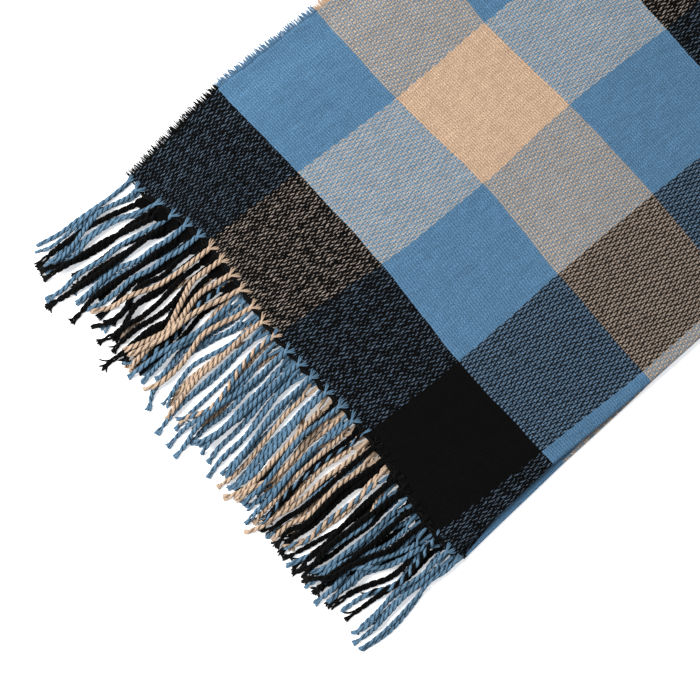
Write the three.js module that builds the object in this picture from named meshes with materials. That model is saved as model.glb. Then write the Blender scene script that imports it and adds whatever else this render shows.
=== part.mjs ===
// A woven blanket scarf in a large check, folded lengthwise and then crosswise and laid flat.
// Millimetres, +Z up, lying on z = 0. +X runs along the scarf, from its fringed ends to the
// crosswise fold, and +Y runs across it, from the lengthwise fold to the open, frayed side.
//
// Places on the cloth are given as "along", from the line where the upper fringe starts, and
// "across", from the open side.
import * as THREE from "three";

// ---------------------------------------------------------------- driving sizes
const STRIPE_ALONG = 88; // one check of the cloth, measured along the scarf
const STRIPE_ACROSS = 86; // and across it
const STRIPES_LONG = 20; // checks from end to end
const END_STRIPE = 7; // the narrow black stripe that finishes the far end
const SKEW = 0.034; // the weft leans this much along the scarf for each millimetre across

const CLOTH = 1.6; // thickness of one layer
const GAP = 0.3; // between pieces that touch
const LEVEL = CLOTH + GAP; // rise from one layer to the next

const FOLDED_LENGTH = (STRIPES_LONG * STRIPE_ALONG + END_STRIPE) / 2;
const CHECKS_SHOWN = 4; // whole checks across the upper layer; the rest of it turns under

const TUCK = 2.5; // depth of the groove between two layers' cut edges
const FRAY = 4; // how far the weft ends stand out of a side

// How far the corners of the checks have crept from a true grid as the cloth was laid down.
// One row for each line between stripes, from the open side; forward and sideways creep at the
// fringe, and one, two and three checks further along. Past that the cloth lies true.
const CREEP = [
  { stripe: 0, forward: [-4, -2, -1, 0], sideways: [-9, 0, -2, 0] },
  { stripe: 1, forward: [8, 1, 0, -5], sideways: [6, 3, -1, 0] },
  { stripe: 2, forward: [0, 2, 6, 1], sideways: [9, 0, -2, 2] },
  { stripe: 3, forward: [2, -3, 3, 3], sideways: [0, -2, 1, 1] },
  { stripe: 4, forward: [-9, -1, 2, 0], sideways: [0, -3, -5, -2] },
];

// The lengthwise fold, as cloth that is left past the fourth check before it turns under, and
// how far the lower pair of layers stands out of it, at some places along the scarf.
const FOLD = [
  { along: 0, margin: 20, lower: 5 },
  { along: 88, margin: 11, lower: 3.5 },
  { along: 176, margin: 8, lower: 0.5 },
  { along: 264, margin: 8, lower: -1.5 },
  { along: 440, margin: 9, lower: 0.5 },
  { along: 884, margin: 10, lower: -2.2 },
];

// Where each hidden layer is cut off, from the upper fringe line and from the open side. The
// lowest layer comes first.
const HIDDEN = [
  { end: 2, side: 5 },
  { end: 2, side: 39 },
  { end: -3.5, side: 34 },
];

// The fringe's free ends, at some places across the scarf: how far they reach past the fringe
// line, and how far they have swung towards the lengthwise fold.
const REACH = [
  { across: 0, upper: 92, lower: 86, swing: -5 },
  { across: 40, upper: 101, lower: 90, swing: 2 },
  { across: 90, upper: 96, lower: 92, swing: 8 },
  { across: 180, upper: 94, lower: 90, swing: 14 },
  { across: 270, upper: 93, lower: 88, swing: 12 },
  { across: 370, upper: 94, lower: 86, swing: 10 },
];

const COLOUR = { blue: 0x577d9b, tan: 0xccad91, black: 0x0c0c0d, check: 0x5c7384 };
const STRIPES = ["blue", "tan", "blue", "black", "blue"]; // of the warp, from the open side

// ---------------------------------------------------------------- the lie of the cloth
// A smooth curve through evenly spaced values, level past both ends.
function throughValues(values, at) {
  const last = values.length - 1;
  const clamped = Math.min(Math.max(at, 0), last);
  const i = Math.min(Math.floor(clamped), last - 1);
  const f = clamped - i;
  const before = values[Math.max(i - 1, 0)];
  const after = values[Math.min(i + 2, last)];
  const from = values[i];
  const to = values[i + 1];
  const slopeFrom = (to - before) / 2;
  const slopeTo = (after - from) / 2;
  return (
    from +
    f * slopeFrom +
    f * f * (3 * (to - from) - 2 * slopeFrom - slopeTo) +
    f * f * f * (2 * (from - to) + slopeFrom + slopeTo)
  );
}

// A value from a table of rows, in straight lines between them.
function fromTable(rows, key, at, column) {
  const next = rows.findIndex((row) => row[key] > at);
  if (next === 0) return rows[0][column];
  if (next < 0) return rows[rows.length - 1][column];
  const a = rows[next - 1];
  const b = rows[next];
  return THREE.MathUtils.mapLinear(at, a[key], b[key], a[column], b[column]);
}

function creep(kind, along, across) {
  const lines = CREEP.map((row) => throughValues([...row[kind], 0], along / STRIPE_ALONG));
  return throughValues(lines, across / STRIPE_ACROSS);
}

// The plan position of a place on the cloth.
function lieOf(along, across) {
  return [
    along + SKEW * across + creep("forward", along, across),
    -across + creep("sideways", along, across),
  ];
}

const foldAt = (along) =>
  CHECKS_SHOWN * STRIPE_ACROSS + fromTable(FOLD, "along", along, "margin");
const lowerFoldAt = (along) => foldAt(along) + fromTable(FOLD, "along", along, "lower");

// The underside of the upper layer: on the lowest layer beside the open side, and up over the
// edges of the two between.
const RAMP_START = 8;
const RAMP_END = 31;
const rampOf = (across) => THREE.MathUtils.smoothstep(across, RAMP_START, RAMP_END);
const upperUnderside = (across) => LEVEL + 2 * LEVEL * rampOf(across);

// ---------------------------------------------------------------- solids from loops
// Fractions along and across at which a sheet has its sections. They are closest at the fringe,
// beside the open side and at the folds, where the cloth bends most.
const ROWS = [0, 0.02, 0.05, 0.1, 0.15, 0.2, 0.25, 0.3, 0.35, 0.4, 0.5, 0.6, 0.7, 0.8, 0.9, 0.96, 0.995, 1];
const RAMP_COLUMNS = [0, 0.02, 0.04, 0.06, 0.08];
const EVEN_COLUMNS = Array.from({ length: 22 }, (_, i) => 0.12 + i * 0.04);
const COLUMNS = [...RAMP_COLUMNS, ...EVEN_COLUMNS, 0.999, 1];

// A closed body from an underside, loops that go round its rim, and an upper side. Each is a
// function of a row and a column fraction that gives [x, y, z], and the loops only use it at
// the edges of the sheet.
function closedSheet(rows, columns, underside, rim, upperSide) {
  const positions = [];
  const index = [];
  const put = (point) => positions.push(...point) / 3 - 1;
  const gridOf = (at) => rows.map((row) => columns.map((column) => put(at(row, column))));
  const below = gridOf(underside);
  const above = gridOf(upperSide);

  const lastRow = rows.length - 1;
  const lastColumn = columns.length - 1;
  const edge = []; // row and column of each place on the edge, anticlockwise from above
  for (let c = 0; c < lastColumn; c++) edge.push([0, c]);
  for (let r = 0; r < lastRow; r++) edge.push([r, lastColumn]);
  for (let c = lastColumn; c > 0; c--) edge.push([lastRow, c]);
  for (let r = lastRow; r > 0; r--) edge.push([r, 0]);

  for (let r = 0; r < lastRow; r++)
    for (let c = 0; c < lastColumn; c++) {
      index.push(above[r][c], above[r][c + 1], above[r + 1][c + 1]);
      index.push(above[r][c], above[r + 1][c + 1], above[r + 1][c]);
      index.push(below[r][c], below[r + 1][c + 1], below[r][c + 1]);
      index.push(below[r][c], below[r + 1][c], below[r + 1][c + 1]);
    }
  const loops = [
    edge.map(([r, c]) => below[r][c]),
    ...rim.map((at) => edge.map(([r, c]) => put(at(rows[r], columns[c])))),
    edge.map(([r, c]) => above[r][c]),
  ];
  for (let k = 0; k + 1 < loops.length; k++)
    edge.forEach((_, i) => {
      const next = (i + 1) % edge.length;
      index.push(loops[k][i], loops[k][next], loops[k + 1][next]);
      index.push(loops[k][i], loops[k + 1][next], loops[k + 1][i]);
    });

  const geometry = new THREE.BufferGeometry();
  geometry.setAttribute("position", new THREE.Float32BufferAttribute(positions, 3));
  geometry.setIndex(index);
  geometry.computeVertexNormals();
  return geometry;
}

// The plan of a rectangle of cloth, as a function of the two fractions that gives [along, across].
function planOf({ end, far, side, fold }) {
  return (row, column) => {
    const along = THREE.MathUtils.lerp(end, far, row);
    return [along, THREE.MathUtils.lerp(side, fold(along), column)];
  };
}

function at(plan, height) {
  return (row, column) => {
    const [along, across] = plan(row, column);
    return [...lieOf(along, across), height(along, across, row, column)];
  };
}

// ---------------------------------------------------------------- the upper layer
const PAIR = 2 * CLOTH + GAP; // two layers, as they lie in a fold
const FOLD_RADIUS = PAIR / 2;

// The rim of the upper layer, one row for each loop, from its underside round to its top. At a
// cut edge it is drawn in by cutIn and has climbed the share cutRise of the cloth. At the
// lengthwise fold it is a wall down to the second layer's level, and at the crosswise fold one
// down to the surface the scarf lies on.
const UPPER_RIM = [
  { cutIn: 0.35, cutRise: 0.1, foldIn: CLOTH, foldZ: 4.1, farIn: CLOTH, farZ: 0 },
  { cutIn: 0.12, cutRise: 0.25, foldIn: 0.77, foldZ: 4.1, farIn: 0.9, farZ: 0 },
  { cutIn: 0, cutRise: 0.5, foldIn: 0.12, foldZ: 4.9, farIn: 0.15, farZ: 1.3 },
  { cutIn: 0.05, cutRise: 0.65, foldIn: 0, foldZ: 5.6, farIn: 0, farZ: 3.6 },
  { cutIn: 0.2, cutRise: 0.85, foldIn: 0.4, foldZ: 6.7, farIn: 0.5, farZ: 6.4 },
];

function upperPlan(cutIn, foldIn, farIn) {
  return planOf({
    end: cutIn,
    far: FOLDED_LENGTH - farIn,
    side: cutIn,
    fold: (along) => foldAt(along) - foldIn,
  });
}

function topLayer() {
  const rim = UPPER_RIM.map((loop) =>
    at(upperPlan(loop.cutIn, loop.foldIn, loop.farIn), (along, across, row, column) => {
      if (row === 1) return loop.farZ;
      if (column === 1) return loop.foldZ;
      return upperUnderside(across) + loop.cutRise * CLOTH;
    }),
  );
  const underside = at(upperPlan(0.6, CLOTH, CLOTH), (along, across) => upperUnderside(across));
  const upperSide = at(
    upperPlan(0.6, FOLD_RADIUS, FOLD_RADIUS),
    (along, across) => upperUnderside(across) + CLOTH,
  );
  return closedSheet(ROWS, COLUMNS, underside, rim, upperSide);
}

// ---------------------------------------------------------------- the hidden layers
// How far a rounded edge is drawn in at a height, for an edge or a fold from z = low to high.
function roundedIn(z, low, high) {
  const radius = (high - low) / 2;
  const fromMiddle = (z - low - radius) / radius;
  return radius * (1 - Math.sqrt(Math.max(1 - fromMiddle * fromMiddle, 0)));
}

// The outline of the three hidden layers at one height. Their cut edges are apart, with a
// groove between two of them. The lower two are one fold along the lengthwise fold, and the
// upper two are one fold inside the crosswise fold.
function hiddenPlan(z) {
  const layer = Math.min(Math.floor(z / LEVEL + 1e-6), HIDDEN.length - 1);
  const inLayer = z - layer * LEVEL;
  const grooved = inLayer > CLOTH + 1e-6;
  const edgeIn = grooved ? TUCK : roundedIn(inLayer, 0, CLOTH);
  const cut = HIDDEN[grooved ? layer + 1 : layer];
  const inLowerPair = z < PAIR + 1e-6;
  const inUpperPair = z > LEVEL - 1e-6;
  return planOf({
    end: cut.end + edgeIn,
    side: cut.side + edgeIn,
    far: inUpperPair
      ? FOLDED_LENGTH - 2 * LEVEL - roundedIn(z, LEVEL, LEVEL + PAIR)
      : FOLDED_LENGTH - LEVEL - edgeIn,
    fold: (along) =>
      inLowerPair ? lowerFoldAt(along) - roundedIn(z, 0, PAIR) : foldAt(along) - LEVEL - edgeIn,
  });
}

function hiddenLayers() {
  const inOneLayer = [0, 0.15, 0.5, 0.85, 1].map((share) => share * CLOTH);
  const heights = HIDDEN.flatMap((_, layer) => [
    ...inOneLayer.map((z) => z + layer * LEVEL),
    (layer + 1) * LEVEL - GAP / 2,
  ]).slice(0, -1);
  const loops = heights.map((z) => at(hiddenPlan(z), () => z));
  return closedSheet(ROWS, COLUMNS, loops[0], loops.slice(1, -1), loops[loops.length - 1]);
}

// ---------------------------------------------------------------- frayed sides and fringe
const EDGE_SHARES = [0, 0.5, 1];

// A strip along the open side, as thick as the weft ends that stand out of one layer.
const FRAY_IN = 0.2; // the strip is this much thinner than the cloth, above and below
function frayedSide(end, far, side, z) {
  const plan = planOf({ end, far, side: side - FRAY, fold: () => side - GAP });
  const low = at(plan, () => z + FRAY_IN);
  const high = at(plan, () => z + CLOTH - FRAY_IN);
  return closedSheet(ROWS, EDGE_SHARES, low, [], high);
}

// The two heaps of fringe, one row for each section from the root to the tips, at a share of
// the length. The lower heap keeps a share of its height. The upper one starts at the level of
// its own layer, over the end of the second, and settles on the lower one.
const LOWER_FRINGE = [
  { share: 0, lifted: 0.4, height: 0.9 },
  { share: 0.045, lifted: 0, height: 1 },
  { share: 0.4, lifted: 0, height: 0.95 },
  { share: 0.7, lifted: 0, height: 0.85 },
  { share: 0.93, lifted: 0, height: 0.78 },
  { share: 1, lifted: 0.4, height: 0.65 },
];
const UPPER_FRINGE = [
  { share: 0, settled: 0, thick: 1.6 },
  { share: 0.05, settled: 0, thick: 1.7 },
  { share: 0.14, settled: 1, thick: 3.4 },
  { share: 0.4, settled: 1, thick: 3.3 },
  { share: 0.7, settled: 1, thick: 3.1 },
  { share: 0.93, settled: 1, thick: 2.9 },
  { share: 1, settled: 1, thick: 2.2 },
];
const BUNCH_COLUMNS = Array.from({ length: 7 }, (_, i) => i / 6);
const ROOT_GAP = 0.45; // between the end of the cloth and the fringe's solids

const LOWER_HEAP = { side: CLOTH, full: PAIR }; // its height beside the open side and elsewhere
function lowerHeap(across) {
  return THREE.MathUtils.lerp(LOWER_HEAP.side, LOWER_HEAP.full, rampOf(across));
}

const lowerFringeZ = (section, across) => [
  section.lifted,
  lowerHeap(across) * section.height,
];

function upperFringeZ(section, across) {
  const resting = lowerHeap(across) + GAP;
  const low = THREE.MathUtils.lerp(upperUnderside(across), resting, section.settled);
  return [low, low + section.thick];
}

// One bunch of fringe, from across = from to across = to, as a plain body of its reach.
function fringeBunch(sections, heightsOf, reach, start, from, to) {
  const placeOf = (section, column) => {
    const across = THREE.MathUtils.lerp(from + GAP / 2, to - GAP / 2, column);
    const length = start + fromTable(REACH, "across", across, reach);
    const swung = across + section.share * fromTable(REACH, "across", across, "swing");
    const [low, high] = heightsOf(section, across);
    const plan = lieOf(start - section.share * length, swung);
    return { low: [...plan, low], high: [...plan, high] };
  };
  const fromTips = [...sections].reverse();
  const rows = fromTips.map((_, i) => i);
  return closedSheet(
    rows,
    BUNCH_COLUMNS,
    (row, column) => placeOf(fromTips[row], column).low,
    [],
    (row, column) => placeOf(fromTips[row], column).high,
  );
}

// ---------------------------------------------------------------- the scarf
const scarf = new THREE.Group();

function addPiece(name, geometry, colour) {
  const material = new THREE.MeshStandardMaterial({ color: colour, roughness: 0.95, metalness: 0 });
  const piece = new THREE.Mesh(geometry, material);
  piece.name = name;
  scarf.add(piece);
}

addPiece("top_layer", topLayer(), COLOUR.check);
addPiece("hidden_layers", hiddenLayers(), COLOUR.check);
addPiece("frayed_side_top", frayedSide(1, FOLDED_LENGTH - PAIR, 0, LEVEL), COLOUR.blue);
addPiece(
  "frayed_side_bottom",
  frayedSide(HIDDEN[0].end + 1, FOLDED_LENGTH - PAIR, HIDDEN[0].side, 0),
  COLOUR.blue,
);

STRIPES.forEach((colour, i) => {
  const from = i * STRIPE_ACROSS;
  const last = i === STRIPES.length - 1;
  const upperTo = last ? foldAt(0) : from + STRIPE_ACROSS;
  const lowerTo = last ? lowerFoldAt(0) : from + STRIPE_ACROSS;
  const lowerFrom = Math.max(from, HIDDEN[0].side);
  const lowerStart = HIDDEN[0].end - ROOT_GAP;
  addPiece(
    `fringe_top_${i + 1}`,
    fringeBunch(UPPER_FRINGE, upperFringeZ, "upper", -ROOT_GAP, from, upperTo),
    COLOUR[colour],
  );
  addPiece(
    `fringe_bottom_${i + 1}`,
    fringeBunch(LOWER_FRINGE, lowerFringeZ, "lower", lowerStart, lowerFrom, lowerTo),
    COLOUR[colour],
  );
});

// The origin is under the middle of the whole scarf, on the surface that it lies on.
const bounds = new THREE.Box3().setFromObject(scarf);
const middle = bounds.getCenter(new THREE.Vector3());
scarf.position.set(-middle.x, -middle.y, -bounds.min.z);

const part = new THREE.Group();
part.add(scarf);
export default part;
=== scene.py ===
"""A woven blanket scarf in a large check, folded in four and laid flat, with its twisted fringe.

Sizes are in millimetres until a mesh is made. "along" runs from the upper fringe line towards
the crosswise fold, and "across" from the open, frayed side towards the lengthwise fold.
"""

import math

import bpy
import numpy as np
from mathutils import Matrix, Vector


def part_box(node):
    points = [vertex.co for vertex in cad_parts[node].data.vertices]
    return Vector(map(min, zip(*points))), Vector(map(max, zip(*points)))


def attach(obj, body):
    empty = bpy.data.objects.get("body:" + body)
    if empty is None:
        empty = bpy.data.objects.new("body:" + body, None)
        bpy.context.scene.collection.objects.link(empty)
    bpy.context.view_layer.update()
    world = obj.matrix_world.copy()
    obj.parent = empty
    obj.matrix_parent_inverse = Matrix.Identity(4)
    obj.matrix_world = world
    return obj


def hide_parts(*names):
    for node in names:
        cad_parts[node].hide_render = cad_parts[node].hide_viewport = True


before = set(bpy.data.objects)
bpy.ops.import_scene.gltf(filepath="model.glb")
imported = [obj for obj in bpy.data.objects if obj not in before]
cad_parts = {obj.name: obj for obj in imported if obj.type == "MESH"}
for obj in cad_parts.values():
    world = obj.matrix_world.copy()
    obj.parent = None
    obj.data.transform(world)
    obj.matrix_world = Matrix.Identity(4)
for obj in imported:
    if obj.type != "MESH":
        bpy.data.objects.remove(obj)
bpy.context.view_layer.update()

MM = 0.001

# ------------------------------------------------------------------ the cut and the fold
STRIPE_ALONG = 88.0
STRIPE_ACROSS = 86.0
FOLDED_LENGTH = 883.5
CHECKS_SHOWN = 4
SKEW = 0.034  # how far each millimetre across leans along
CLOTH = 1.6  # one layer
WALL = 1.5  # the shell of the upper layer
LEVEL = 1.9  # from one layer to the next
PAIR = 3.5  # two layers
FOLD_RADIUS = 1.75
RAMP_START = 8.0
RAMP_END = 31.0
TINY = 1e-6
# How far the cloth has crept along, and to the open side, at each corner of the checks.
# A row is a place across, from the open side, and a column a place along, from the fringe.
CREEP_FORWARD = [
    (-4, -2, -1, 0, 0),
    (8, 1, 0, -5, 0),
    (0, 2, 6, 1, 0),
    (2, -3, 3, 3, 0),
    (-9, -1, 2, 0, 0),
]
CREEP_SIDEWAYS = [
    (-9, 0, -2, 0, 0),
    (6, 3, -1, 0, 0),
    (9, 0, -2, 2, 0),
    (0, -2, 1, 1, 0),
    (0, -3, -5, -2, 0),
]
# The lengthwise fold, at places along: the cloth past the last whole check, and how far the
# lower pair stands out past it.
FOLD_AT = [0, 88, 176, 264, 440, 884]
FOLD_MARGIN = [20, 11, 8, 8, 9, 10]
FOLD_LOWER = [6.2, 5.0, 1.0, -1.5, 0.5, -2.2]
# The hidden layers, lowest first: where each one's end and its open side are cut.
HIDDEN_END = [2, 2, -3.5]
HIDDEN_SIDE = [5, 39, 34]
# Each pair's end starts this far into the repeat of the weft stripes.
LOWER_PAIR_STARTS = 79.0
UPPER_PAIR_STARTS = 3.5

# ------------------------------------------------------------------ yarns
WARP_PITCH = 0.83
WEFT_PITCH = 1.96
TASSEL_PITCH = 10.0


def through_values(values, at):
    """A smooth curve through evenly spaced values, level past both ends."""
    at = np.asarray(at, float)
    values = np.stack([np.broadcast_to(np.asarray(v, float), at.shape) for v in values])
    last = len(values) - 1
    at = np.clip(at, 0, last)
    i = np.minimum(np.floor(at).astype(int), last - 1)
    f = at - i

    def pick(k):
        return np.take_along_axis(values, np.clip(k, 0, last)[None], axis=0)[0]

    before, start, end, after = pick(i - 1), pick(i), pick(i + 1), pick(i + 2)
    slope_start = (end - before) / 2
    slope_end = (after - start) / 2
    square = 3 * (end - start) - 2 * slope_start - slope_end
    cube = 2 * (start - end) + slope_start + slope_end
    return start + f * slope_start + f**2 * square + f**3 * cube


def creep(rows, along, across):
    lines = [through_values(row, along / STRIPE_ALONG) for row in rows]
    return through_values(lines, across / STRIPE_ACROSS)


def smoothstep(x, low, high):
    t = np.clip((np.asarray(x, float) - low) / (high - low), 0, 1)
    return t * t * (3 - 2 * t)


def fold_at(along):
    return CHECKS_SHOWN * STRIPE_ACROSS + np.interp(along, FOLD_AT, FOLD_MARGIN)


def lower_fold_at(along):
    return fold_at(along) + np.interp(along, FOLD_AT, FOLD_LOWER)


def top_of_cloth(across):
    """The upper side of the upper layer: it climbs from the lowest layer over the two between."""
    return PAIR + 2 * LEVEL * smoothstep(across, RAMP_START, RAMP_END)


def flat_lie(along, across):
    along, across = np.broadcast_arrays(np.asarray(along, float), np.asarray(across, float))
    x = along + SKEW * across + creep(CREEP_FORWARD, along, across)
    y = -across + creep(CREEP_SIDEWAYS, along, across)
    return x, y


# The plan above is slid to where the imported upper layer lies.
low_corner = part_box("top_layer")[0] / MM
open_corner = flat_lie(0, 0)
fold_corner = flat_lie(0.05, fold_at(0.05))
SLIDE_X = low_corner.x - float(open_corner[0])
SLIDE_Y = low_corner.y - float(fold_corner[1])


def lie_of(along, across):
    x, y = flat_lie(along, across)
    return x + SLIDE_X, y + SLIDE_Y


# ------------------------------------------------------------------ meshes
def mesh_piece(name, points, faces, places, material, by_corner=False):
    """A mesh from points in millimetres, arrays of faces, and the place on the cloth of each
    point, or of each corner of each face."""
    mesh = bpy.data.meshes.new(name)
    points = np.asarray(points, float).reshape(-1, 3) * MM
    faces = [np.asarray(f, int).reshape(len(f), -1) for f in faces if len(f)]
    corners = np.concatenate([f.ravel() for f in faces])
    totals = np.concatenate([np.full(len(f), f.shape[1]) for f in faces])
    starts = np.concatenate([[0], np.cumsum(totals)[:-1]])
    mesh.vertices.add(len(points))
    mesh.vertices.foreach_set("co", points.ravel())
    mesh.loops.add(len(corners))
    mesh.loops.foreach_set("vertex_index", corners)
    mesh.polygons.add(len(totals))
    mesh.polygons.foreach_set("loop_start", starts)
    mesh.polygons.foreach_set("loop_total", totals)
    mesh.update(calc_edges=True)
    mesh.polygons.foreach_set("use_smooth", np.ones(len(totals), bool))
    layer = mesh.uv_layers.new(name="UVMap")
    places = np.asarray(places, float).reshape(-1, 2) * MM
    layer.data.foreach_set("uv", (places if by_corner else places[corners]).ravel())
    mesh.validate()
    mesh.materials.append(material)
    piece = bpy.data.objects.new(name, mesh)
    bpy.context.scene.collection.objects.link(piece)
    return piece


def grid_faces(rows, columns, start=0, closed=False):
    """Quads over a grid of points, which may close on itself across its columns."""
    last = columns if closed else columns - 1
    r, c = np.meshgrid(np.arange(rows - 1), np.arange(last), indexing="ij")
    after = (c + 1) % columns
    quads = np.stack(
        [r * columns + c, r * columns + after, (r + 1) * columns + after, (r + 1) * columns + c],
        axis=-1,
    )
    return quads.reshape(-1, 4) + start


class Heap:
    """Tubes that are gathered into one mesh."""

    def __init__(self):
        self.points, self.quads, self.quad_places = [], [], []
        self.caps, self.cap_places = {}, {}
        self.count = 0

    def add_tube(self, rings, places):
        """rings is (steps, sides, 3), turning right about the way that the tube runs, and places
        has one column more, for the way back to the first side."""
        steps, sides = rings.shape[:2]
        self.points.append(rings.reshape(-1, 3))
        self.quads.append(grid_faces(steps, sides, self.count, closed=True)[:, ::-1])
        corners = grid_faces(steps, sides + 1)[:, ::-1]
        self.quad_places.append(places.reshape(-1, 2)[corners].reshape(-1, 2))
        caps = self.caps.setdefault(sides, [])
        caps.append(self.count + np.arange(sides))
        caps.append(self.count + (steps - 1) * sides + np.arange(sides)[::-1])
        self.cap_places.setdefault(sides, []).extend([places[0, :sides], places[-1, :sides][::-1]])
        self.count += steps * sides

    def piece(self, name, material):
        faces = [np.concatenate(self.quads)] + [np.array(c) for c in self.caps.values()]
        places = self.quad_places + [p for c in self.cap_places.values() for p in c]
        points = np.concatenate(self.points)
        return mesh_piece(name, points, faces, np.concatenate(places), material, by_corner=True)


def round_the_tube(sides):
    """The turn of each side of a tube, and the same with the first one again at the end."""
    turn = np.linspace(0, 2 * np.pi, sides + 1)
    return turn[:-1], turn


# ------------------------------------------------------------------ nodes
class Finish:
    """A material whose colour and relief are made by nodes."""

    def __init__(self, name, roughness, sheen, sheen_roughness=0.5):
        self.material = bpy.data.materials.new(name)
        self.material.use_nodes = True
        self.tree = self.material.node_tree
        self.tree.nodes.clear()
        self.output = self.new("OutputMaterial")
        self.shader = self.new("BsdfPrincipled")
        self.tree.links.new(self.shader.outputs[0], self.output.inputs[0])
        self.shader.inputs["Roughness"].default_value = roughness
        self.shader.inputs["Specular IOR Level"].default_value = 0.03
        self.shader.inputs["Sheen Weight"].default_value = sheen
        self.shader.inputs["Sheen Roughness"].default_value = sheen_roughness

    def new(self, kind):
        return self.tree.nodes.new("ShaderNode" + kind)

    def put(self, socket, value):
        if isinstance(value, bpy.types.NodeSocket):
            self.tree.links.new(value, socket)
        else:
            socket.default_value = value

    def feed(self, sockets, values):
        for socket, value in zip(sockets, values):
            self.put(socket, value)

    def maths(self, operation, a, b=0.0, c=0.0):
        node = self.new("Math")
        node.operation = operation
        self.feed(node.inputs, (a, b, c))
        return node.outputs[0]

    def add(self, a, b):
        return self.maths("ADD", a, b)

    def subtract(self, a, b):
        return self.maths("SUBTRACT", a, b)

    def times(self, a, b):
        return self.maths("MULTIPLY", a, b)

    def between(self, value, low, high, to_low=0.0, to_high=1.0, smooth=True):
        node = self.new("MapRange")
        node.interpolation_type = "SMOOTHSTEP" if smooth else "LINEAR"
        self.feed(node.inputs, (value, low, high, to_low, to_high))
        return node.outputs[0]

    def place(self):
        """The place on the cloth or yarn, in millimetres."""
        node = self.new("UVMap")
        node.uv_map = "UVMap"
        return self.shade(node.outputs[0], 1 / MM)

    def nudge(self, vector, shift, amounts):
        """The vector moved by that much of another one."""
        node = self.new("VectorMath")
        node.operation = "MULTIPLY_ADD"
        self.feed(node.inputs, (shift, amounts, vector))
        return node.outputs[0]

    def split(self, vector):
        node = self.new("SeparateXYZ")
        self.put(node.inputs[0], vector)
        return node.outputs[0], node.outputs[1]

    def join(self, x, y, z=0.0):
        node = self.new("CombineXYZ")
        self.feed(node.inputs, (x, y, z))
        return node.outputs[0]

    def noise(self, vector, size, detail=1.0, rough=0.5):
        node = self.new("TexNoise")
        node.noise_dimensions = "3D"
        self.put(node.inputs["Vector"], vector)
        node.inputs["Scale"].default_value = 1 / size
        node.inputs["Detail"].default_value = detail
        node.inputs["Roughness"].default_value = rough
        return node.outputs

    def chance(self, number, other=0.0):
        """A steady random value for each pair of whole numbers."""
        node = self.new("TexWhiteNoise")
        node.noise_dimensions = "2D"
        self.put(node.inputs["Vector"], self.join(number, other))
        return node.outputs["Value"]

    def stripes(self, share, colours):
        """Equal stripes of the colours, for a share from 0 to 1 of their repeat."""
        node = self.new("ValToRGB")
        ramp = node.color_ramp
        ramp.interpolation = "CONSTANT"
        while len(ramp.elements) < len(colours):
            ramp.elements.new(1.0)
        for i, colour in enumerate(colours):
            ramp.elements[i].position = i / len(colours)
            ramp.elements[i].color = (*colour, 1)
        self.put(node.inputs[0], share)
        return node.outputs[0]

    def stripe_share(self, number, pitch, stripe):
        """Where the middle of a yarn lies in the repeat of four stripes, from 0 to 1."""
        return self.maths("FRACT", self.times(self.add(number, 0.5), pitch / (4 * stripe)))

    def mix(self, share, a, b):
        node = self.new("Mix")
        node.data_type = "RGBA"
        self.feed((node.inputs[0], node.inputs[6], node.inputs[7]), (share, a, b))
        return node.outputs[2]

    def shade(self, colour, amount):
        """A colour or place times a factor."""
        node = self.new("VectorMath")
        node.operation = "SCALE"
        self.put(node.inputs[0], colour)
        self.put(node.inputs["Scale"], amount)
        return node.outputs[0]

    def grey_of(self, colour):
        node = self.new("RGBToBW")
        self.put(node.inputs[0], colour)
        return node.outputs[0]

    def done(self, colour, relief, depth, strength):
        self.put(self.shader.inputs["Base Color"], colour)
        bump = self.new("Bump")
        bump.inputs["Strength"].default_value = strength
        bump.inputs["Distance"].default_value = depth * MM
        self.put(bump.inputs["Height"], relief)
        self.put(self.shader.inputs["Normal"], bump.outputs[0])
        return self.material


BLUE = (0.060, 0.131, 0.218)
TAN = (0.385, 0.265, 0.180)
BLACK = (0.0019, 0.0018, 0.0020)
# What blue and tan yarns fade to where they cross: blue over tan, and tan over blue.
BLUE_WARP_HAZE = (0.180, 0.190, 0.176)
TAN_WARP_HAZE = (0.138, 0.222, 0.280)
WARP_STRIPES = [BLUE, TAN, BLUE, BLACK]
WEFT_STRIPES = [BLACK, BLUE, TAN, BLUE]
IS_BLUE, IS_TAN, IS_BLACK = (0, 0, 0), (0, 1, 0), (1, 0, 0)
WARP_KINDS = [IS_BLUE, IS_TAN, IS_BLUE, IS_BLACK]
WEFT_KINDS = [IS_BLACK, IS_BLUE, IS_TAN, IS_BLUE]


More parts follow.
